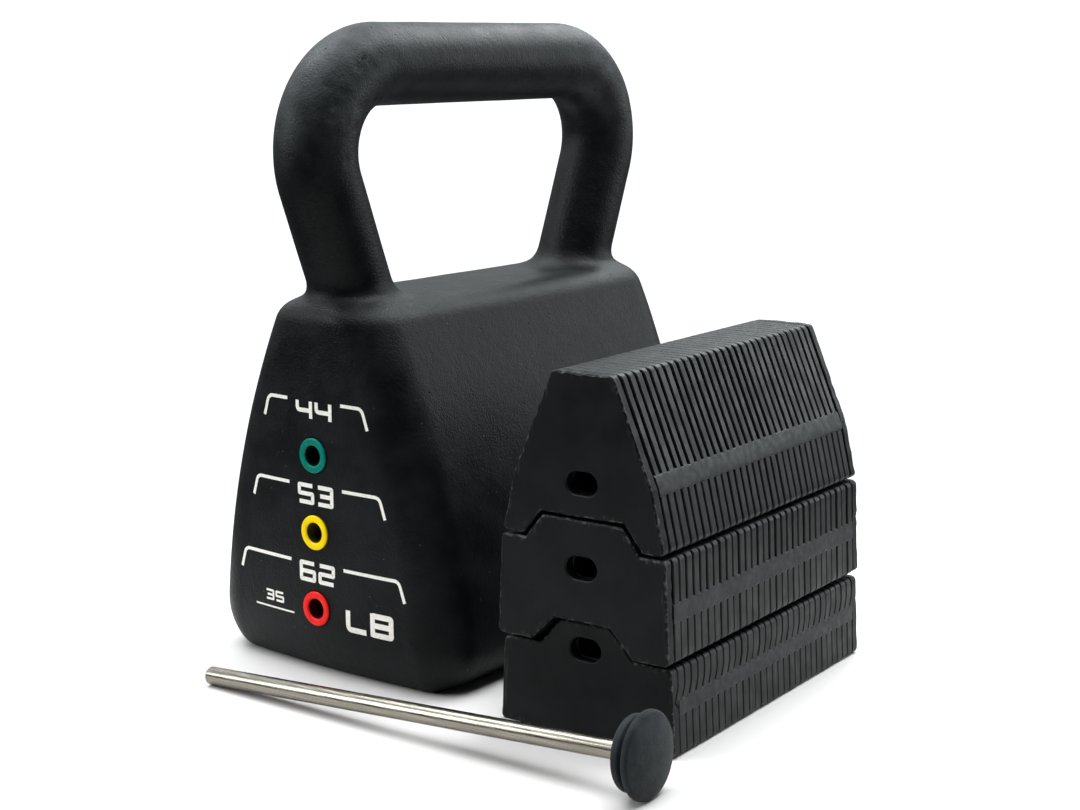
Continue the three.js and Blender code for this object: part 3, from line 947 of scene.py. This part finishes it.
def make_seam(name, body, stack, side, material, node):
    """The smooth strip across one flank, its edges drawn into the gaps it closes."""
    thick = stack.length / tower.sheet_count
    start = stack.front + thick
    end = stack.front + stack.length - thick
    steps = (tower.sheet_count - 2) * seam.steps
    soft = seam.edge
    verts = []
    for k in range(steps + 1):
        y = start + (end - start) * k / steps
        phase = 2 * math.pi * (y - stack.front) / thick
        drawn = seam.tooth * (1 + math.cos(phase))
        spot = Vector((y * seam.ragged_rate, side * 3.0, stack.seam_z))
        ragged = seam.ragged * noise.noise(spot)
        low = stack.seam_z - stack.seam_reach[0] + drawn + ragged
        high = stack.seam_z + stack.seam_reach[1] - drawn + ragged
        middle = stack.flank[1][1] if len(stack.flank) > 2 else stack.seam_z
        spot = Vector((y * seam.wave_rate, side * 9.0, stack.seam_z))
        level = seam.proud + seam.wave * noise.noise(spot)
        section = [(low, -seam.lip), (low + soft, level), (low + 2 * soft, level), (middle, level),
                   (high - 2 * soft, level), (high - soft, level), (high, -seam.lip),
                   (high, -seam.sunk), (low, -seam.sunk)]
        verts += [(side * (float(flank_half(stack, z)) + out), y, z) for z, out in section]
    size = len(section)
    faces = [tuple(range(size)), tuple(range(steps * size, (steps + 1) * size))]
    strip = mesh_object(name, verts, faces + bands(size, steps + 1), TOWER)
    finish_piece(strip, body, material, [node], crease=50)


def make_stack(body, plate, steel, joined_steel):
    """The front sheet, the sheets between, the rear sheet and the two seams."""
    stack, edge = stacks[body], edges[body]
    dice = random.Random(sum(map(ord, body)))
    last = tower.sheet_count - 1
    make_sheets(f"{body}_front_sheet", stack, edge, 0, 0, plate, f"{body}_front_plate", dice)
    make_sheets(f"{body}_inner_sheets", stack, edge, 1, last - 1, steel, f"{body}_sheets", dice)
    make_sheets(f"{body}_rear_sheet", stack, edge, last, last, plate, f"{body}_rear_plate", dice)
    for side, word in ((-1, "left"), (1, "right")):
        make_seam(f"{body}_{word}_weld", body, stack, side, joined_steel, f"{body}_{word}_seam")


# ---- selector pin ---------------------------------------------------------------------


def make_pin(steel, rubber, magnet):
    inner_end = rod.length + knob.inner_thick
    outer_end = inner_end + knob.outer_thick
    spigot_end = inner_end + rod.spigot_length
    magnet_end = rod.length + knob.magnet_end
    bore = rod.spigot + knob.gap
    pocket = knob.magnet_radius + knob.gap

    rod_profile = rounded([
        (0, 0, 0), (rod.radius, 0, rod.chamfer), (rod.radius, magnet_end, 0),
        (rod.spigot, magnet_end, 0), (rod.spigot, spigot_end, knob.fine_edge), (0, spigot_end, 0),
    ], closed=False)
    bar = mesh_object("selector_rod", *turned(rod_profile), PIN)
    finish_piece(bar, "pin", steel, ["pin_rod"])

    inner_profile = rounded([
        (pocket, rod.length, knob.fine_edge), (knob.inner_radius, rod.length, knob.inner_round),
        (knob.inner_radius, inner_end - knob.inner_taper, knob.edge),
        (knob.waist, inner_end - knob.gap, 0.2),
        (bore, inner_end - knob.gap, 0), (bore, magnet_end + knob.gap, 0),
        (pocket, magnet_end + knob.gap, 0),
    ])
    inner = mesh_object("knob_inner", *turned(inner_profile), PIN)
    finish_piece(inner, "pin", rubber, ["knob_inner_disc"])

    dome = []
    rim = knob.outer_radius - knob.edge
    crown = outer_end - (inner_end + knob.rim_end + knob.crown_start)
    for i in range(1, knob.crown_steps):
        left = 1 - i / knob.crown_steps
        dome.append((rim * left, outer_end - crown * left ** knob.crown_power, 0))
    outer_profile = rounded([
        (0, spigot_end + knob.gap, 0), (bore, spigot_end + knob.gap, 0), (bore, inner_end, 0),
        (knob.waist, inner_end, knob.fine_edge),
        (knob.outer_radius, inner_end + knob.rim_start, knob.flange_edge),
        (knob.outer_radius, inner_end + knob.rim_end, knob.edge),
        (rim, outer_end - crown, knob.crown_edge),
        *dome, (0, outer_end, 0),
    ], closed=False)
    outer = mesh_object("knob_outer", *turned(outer_profile), PIN)
    finish_piece(outer, "pin", rubber, ["knob_outer_disc"])

    ring = frame["nodes"]["knob_magnet"]
    ring.data.materials.clear()
    ring.data.materials.append(magnet)


# ---- materials ------------------------------------------------------------------------


class Nodes:
    """Short names for the nodes of a material or world."""

    def __init__(self, tree):
        self.tree = tree

    def fill(self, socket, value):
        """Links an output to the socket, or sets the socket's own value."""
        if isinstance(value, bpy.types.NodeSocket):
            self.tree.links.new(value, socket)
        else:
            socket.default_value = value

    def node(self, kind, settings=None, **inputs):
        node = self.tree.nodes.new(kind)
        for key, value in (settings or {}).items():
            setattr(node, key, value)
        for key, value in inputs.items():
            self.fill(node.inputs[key.replace("_", " ")], value)
        return node

    def ramp(self, value, start, end, low=0.0, high=1.0):
        """Goes smoothly from low to high as the value goes from start to end."""
        node = self.node("ShaderNodeMapRange", {"interpolation_type": "SMOOTHSTEP"})
        for socket, number in zip(node.inputs, (value, start, end, low, high)):
            self.fill(socket, number)
        return node.outputs[0]

    def maths(self, operation, a, b=0):
        node = self.node("ShaderNodeMath", {"operation": operation})
        self.fill(node.inputs[0], a)
        self.fill(node.inputs[1], b)
        return node.outputs[0]

    def times(self, a, b):
        return self.maths("MULTIPLY", a, b)

    def plus(self, a, b):
        return self.maths("ADD", a, b)

    def blend(self, share, one, two):
        """A colour that goes from one to two with the share."""
        node = self.node("ShaderNodeMix", {"data_type": "RGBA"})
        self.fill(node.inputs[0], share)
        for socket, colour in ((node.inputs[6], one), (node.inputs[7], two)):
            self.fill(socket, (*colour, 1) if isinstance(colour, tuple) else colour)
        return node.outputs[2]


class Look(Nodes):
    """A Principled material. Its plain colour and roughness are what a viewer without the
    nodes that pattern it shows."""

    def __init__(self, name, colour, roughness, metallic=0.0, specular=0.5):
        self.material = bpy.data.materials.new(name)
        self.material.use_nodes = True
        super().__init__(self.material.node_tree)
        self.shader = self.tree.nodes["Principled BSDF"]
        self.set("Base Color", (*colour, 1))
        self.set("Roughness", roughness)
        self.set("Metallic", metallic)
        self.set("Specular IOR Level", specular)
        self.place = self.node("ShaderNodeTexCoord").outputs["Object"]

    def set(self, socket, value):
        self.fill(self.shader.inputs[socket], value)

    def noise(self, size, detail=2.0, stretch=(1, 1, 1)):
        """Noise whose features are about size millimetres across."""
        place = self.place
        if stretch != (1, 1, 1):
            place = self.node("ShaderNodeMapping", Vector=place, Scale=stretch).outputs[0]
        node = self.node("ShaderNodeTexNoise", Vector=place, Scale=1 / (size * MM), Detail=detail)
        return node.outputs["Fac"]

    def spots(self, size):
        """Distance to scattered points about size millimetres apart."""
        node = self.node("ShaderNodeTexVoronoi", Vector=self.place, Scale=1 / (size * MM))
        return node.outputs["Distance"]

    def point_value(self, name):
        return self.node("ShaderNodeAttribute", {"attribute_name": name}).outputs["Fac"]

    def bump(self, *layers):
        """Stacks (height, depth in mm) layers into one normal."""
        normal = None
        for height, depth in layers:
            node = self.node("ShaderNodeBump", Height=height, Distance=depth * MM, Strength=1.0)
            if normal is not None:
                self.tree.links.new(normal, node.inputs["Normal"])
            normal = node.outputs[0]
        self.set("Normal", normal)


# Where a painted sheen pales the handle's bends, in metres: out from its middle, and up.
sheen_area = Dims(out=(0.045, 0.085), up=(0.21, 0.25))


def cast_look():
    """Satin black coat over a fine cast grain, with a painted sheen that pales the handle's bends.
    """
    look = Look("cast_black", (0.006, 0.0065, 0.007), 0.5, specular=0.13)
    cloudy = look.noise(16, 5)
    grain = look.noise(0.9, 3)
    patches = look.ramp(look.noise(30, 2), 0.48, 0.62)
    pits = look.times(look.ramp(look.spots(7), 0.04, 0.1, 1, 0), patches)
    dusty = look.ramp(look.noise(19, 2), 0.5, 0.6)
    dust = look.times(look.ramp(look.spots(5.3), 0.03, 0.08, 1, 0), dusty)
    colour = look.blend(
        look.ramp(cloudy, 0.35, 0.7), (0.0025, 0.0031, 0.0036), (0.0062, 0.0072, 0.0080)
    )
    # Painted sheen: pale patches high on the handle's bends stand in for a glancing highlight.
    spot = look.node("ShaderNodeSeparateXYZ", Vector=look.place).outputs
    from_middle = look.maths("ABSOLUTE", look.plus(spot["Y"], -SHELL.translation.y))
    on_bends = look.ramp(from_middle, *sheen_area.out, 0.3, 1.0)
    patchy = look.times(look.ramp(look.noise(9, 5), 0.34, 0.68, 0.4, 1.0), on_bends)
    painted_sheen = look.times(look.ramp(spot["Z"], *sheen_area.up), patchy)
    colour = look.blend(painted_sheen, colour, (0.027, 0.0298, 0.0315))
    look.set("Base Color", look.blend(dust, colour, (0.07, 0.073, 0.075)))
    gloss = look.ramp(cloudy, 0.35, 0.65, 0.38, 0.45)
    look.set("Roughness", look.plus(gloss, look.ramp(grain, 0.3, 0.7, 0, 0.08)))
    look.bump((look.noise(4, 3), 0.17), (grain, 0.22), (look.times(pits, -1), 0.5))
    return look.material


def sheet_look(name, specular):
    """Matte black paint on cut steel, worn pale where the edges rub."""
    look = Look(name, (0.010, 0.011, 0.0115), 0.5, specular=specular)
    cloudy = look.noise(22, 4)
    speckle = look.noise(1.3, 3)
    ragged = look.times(look.noise(2.2, 4), 0.9)
    worn = look.ramp(look.plus(look.point_value("wear"), ragged), 1.36, 1.62)
    paint = look.blend(
        look.ramp(cloudy, 0.3, 0.7), (0.0026, 0.0033, 0.0036), (0.0050, 0.0060, 0.0065)
    )
    rib = look.ramp(look.point_value("wear"), 0.1, 0.3)
    streak = look.times(look.ramp(look.noise(1.8, 4, (1, 1, 0.12)), 0.52, 0.72), rib)
    paint = look.blend(streak, paint, (0.022, 0.0235, 0.0245))
    look.set("Base Color", look.blend(worn, paint, (0.085, 0.085, 0.083)))
    look.set("Roughness", look.ramp(look.noise(9, 4), 0.3, 0.7, 0.42, 0.56))
    look.bump((look.noise(8, 3), 0.10), (speckle, 0.03))
    return look.material


def seam_look():
    """The same paint, smoother and greyer over the seam."""
    look = Look("seam_black", (0.018, 0.019, 0.021), 0.5, specular=0.19)
    streak = look.noise(5, 3, (1, 0.35, 1))
    shade = look.ramp(streak, 0.35, 0.7)
    look.set("Base Color", look.blend(shade, (0.010, 0.0115, 0.0125), (0.018, 0.0195, 0.0210)))
    look.set("Roughness", look.ramp(look.noise(3, 3), 0.3, 0.7, 0.44, 0.58))
    look.bump((streak, 0.06), (look.noise(1.0, 2), 0.02))
    return look.material


def ink_look():
    """Warm white screen print with a slightly broken surface."""
    look = Look("print_white", (0.86, 0.845, 0.80), 0.55, specular=0.3)
    patchy = look.noise(1.4, 3)
    shade = look.ramp(patchy, 0.3, 0.62)
    look.set("Base Color", look.blend(shade, (0.84, 0.805, 0.74), (0.95, 0.915, 0.85)))
    look.bump((patchy, 0.03))
    return look.material


def plastic_look(name, colour, shade):
    """Satin moulded plastic, a little uneven in tone, with painted shade darkening it down its bore.
    """
    look = Look(name, colour, 0.38, specular=0.15)
    soft = look.noise(5, 3)
    shade_share = look.ramp(look.point_value("depth"), 0, 1)
    # Painted shade: the colour that stands for the shadow deep in the bore.
    bore_shade = tuple(part * 0.06 for part in colour)
    mottled = look.blend(look.ramp(soft, 0.3, 0.7), shade, colour)
    look.set("Base Color", look.blend(shade_share, mottled, bore_shade))
    look.set("Roughness", look.ramp(look.noise(2, 2), 0.3, 0.7, 0.3, 0.45))
    look.bump((look.noise(0.8, 2), 0.015))
    return look.material


def rod_look():
    """Polished stainless steel with faint lengthwise drawing lines."""
    look = Look("rod_polished", (0.55, 0.515, 0.45), 0.2, metallic=1.0)
    lines = look.noise(0.6, 2, (0.02, 1, 1))
    shade = look.ramp(lines, 0.3, 0.7)
    look.set("Base Color", look.blend(shade, (0.20, 0.182, 0.15), (0.29, 0.266, 0.225)))
    look.set("Roughness", look.ramp(lines, 0.25, 0.75, 0.2, 0.3))
    look.bump((lines, 0.006))
    return look.material


def magnet_look():
    """Nickel plate."""
    look = Look("magnet_nickel", (0.55, 0.55, 0.53), 0.3, metallic=1.0)
    look.set("Roughness", look.ramp(look.noise(2, 3), 0.3, 0.7, 0.22, 0.4))
    look.bump((look.noise(1.2, 2), 0.01))
    return look.material


def rubber_look():
    """Matte blue-grey rubber with a fine moulded grain."""
    look = Look("knob_grey", (0.045, 0.052, 0.060), 0.8, specular=0.16)
    grain = look.noise(0.6, 3)
    cloudy = look.noise(6, 6)
    shade = look.ramp(cloudy, 0.38, 0.62)
    look.set("Base Color", look.blend(shade, (0.0068, 0.0093, 0.0110), (0.0138, 0.0173, 0.0199)))
    look.set("Roughness", look.ramp(grain, 0.3, 0.7, 0.7, 0.9))
    look.set("Sheen Weight", 0.06)
    look.set("Sheen Roughness", 0.5)
    look.bump((grain, 0.13), (cloudy, 0.08))
    return look.material


# ---- camera, floor and lights ---------------------------------------------------------


def make_camera():
    data = bpy.data.cameras.new("camera")
    data.lens = camera.lens
    data.sensor_width = camera.sensor
    data.clip_start = 0.01
    thing = add_object("camera", data)
    thing.location = camera.place
    thing.rotation_euler = (math.radians(camera.tilt), 0, math.radians(camera.heading))
    bpy.context.scene.camera = thing


def make_floor():
    """A pale round floor whose edge fades into the white around it."""
    sides = 96
    turns = [2 * math.pi * i / sides for i in range(sides)]
    rim = [(studio.floor_edge * math.cos(t), studio.floor_edge * math.sin(t), 0) for t in turns]
    mesh = bpy.data.meshes.new("floor")
    mesh.from_pydata(rim, [], [tuple(range(sides))])
    floor = add_object("floor", mesh)
    floor.location = (*studio.floor_middle, 0)
    look = Look("floor_white", studio.floor_colour, 0.6, specular=0.3)
    away = look.node("ShaderNodeVectorMath", {"operation": "LENGTH"}, Vector=look.place)
    fade = look.ramp(away.outputs["Value"], studio.floor_solid, studio.floor_edge, 1.0, 0.0)
    look.set("Alpha", fade)
    mesh.materials.append(look.material)


def soft_light(name, place, aim, size, watts):
    data = bpy.data.lights.new(name, "AREA")
    data.shape = "RECTANGLE"
    data.size, data.size_y = size
    data.energy = watts
    data.color = studio.tint
    lamp = add_object(name, data)
    lamp.location = place
    lamp.rotation_euler = (Vector(aim) - Vector(place)).to_track_quat("-Z", "Y").to_euler()


def make_world():
    """A white studio: brightest overhead, bright behind the object and dim in front."""
    world = bpy.data.worlds.new("studio")
    world.use_nodes = True
    bpy.context.scene.world = world
    sky = Nodes(world.node_tree)
    place = sky.node("ShaderNodeTexCoord").outputs["Generated"]

    def glow(direction, start, end, low, high):
        """Brightness that grows from low to high as the view turns to the direction."""
        facing = sky.node("ShaderNodeVectorMath", {"operation": "DOT_PRODUCT"})
        sky.fill(facing.inputs[0], place)
        sky.fill(facing.inputs[1], direction)
        return sky.ramp(facing.outputs["Value"], start, end, low, high)

    heading = math.radians(camera.heading)
    back = (-math.sin(heading), math.cos(heading), 0)
    level = sky.times(glow(back, *studio.behind), glow((0, 0, 1), *studio.horizon))
    level = sky.plus(level, glow(studio.above_direction, *studio.above))
    seen = sky.node("ShaderNodeLightPath").outputs["Is Camera Ray"]
    choice = sky.node("ShaderNodeMix")
    for number, value in ((0, seen), (2, level), (3, studio.white)):
        sky.fill(choice.inputs[number], value)
    background = sky.tree.nodes["Background"]
    sky.fill(background.inputs["Color"], (*studio.tint, 1))
    sky.fill(background.inputs["Strength"], choice.outputs[0])


def make_studio():
    make_camera()
    make_floor()
    make_world()
    for name, (place, aim, size, watts) in studio.lights.items():
        soft_light(name, place, aim, size, watts)
    bpy.context.scene.view_settings.view_transform = "Standard"


# ---- everything -----------------------------------------------------------------------

make_studio()
make_casting(cast_look())
make_bushings({
    "red_plastic": plastic_look("ring_red", (0.93, 0.018, 0.012), (0.84, 0.012, 0.009)),
    "yellow_plastic": plastic_look("ring_yellow", (0.98, 0.72, 0.0), (0.92, 0.64, 0.0)),
    "green_plastic": plastic_look("ring_green", (0.0, 0.21, 0.155), (0.0, 0.165, 0.125)),
})
make_marks(ink_look())
plate = sheet_look("plate_black", specular=0.132)
steel = sheet_look("sheet_black", specular=0.21)
joined_steel = seam_look()
for body in stacks:
    make_stack(body, plate, steel, joined_steel)
make_pin(rod_look(), rubber_look(), magnet_look())
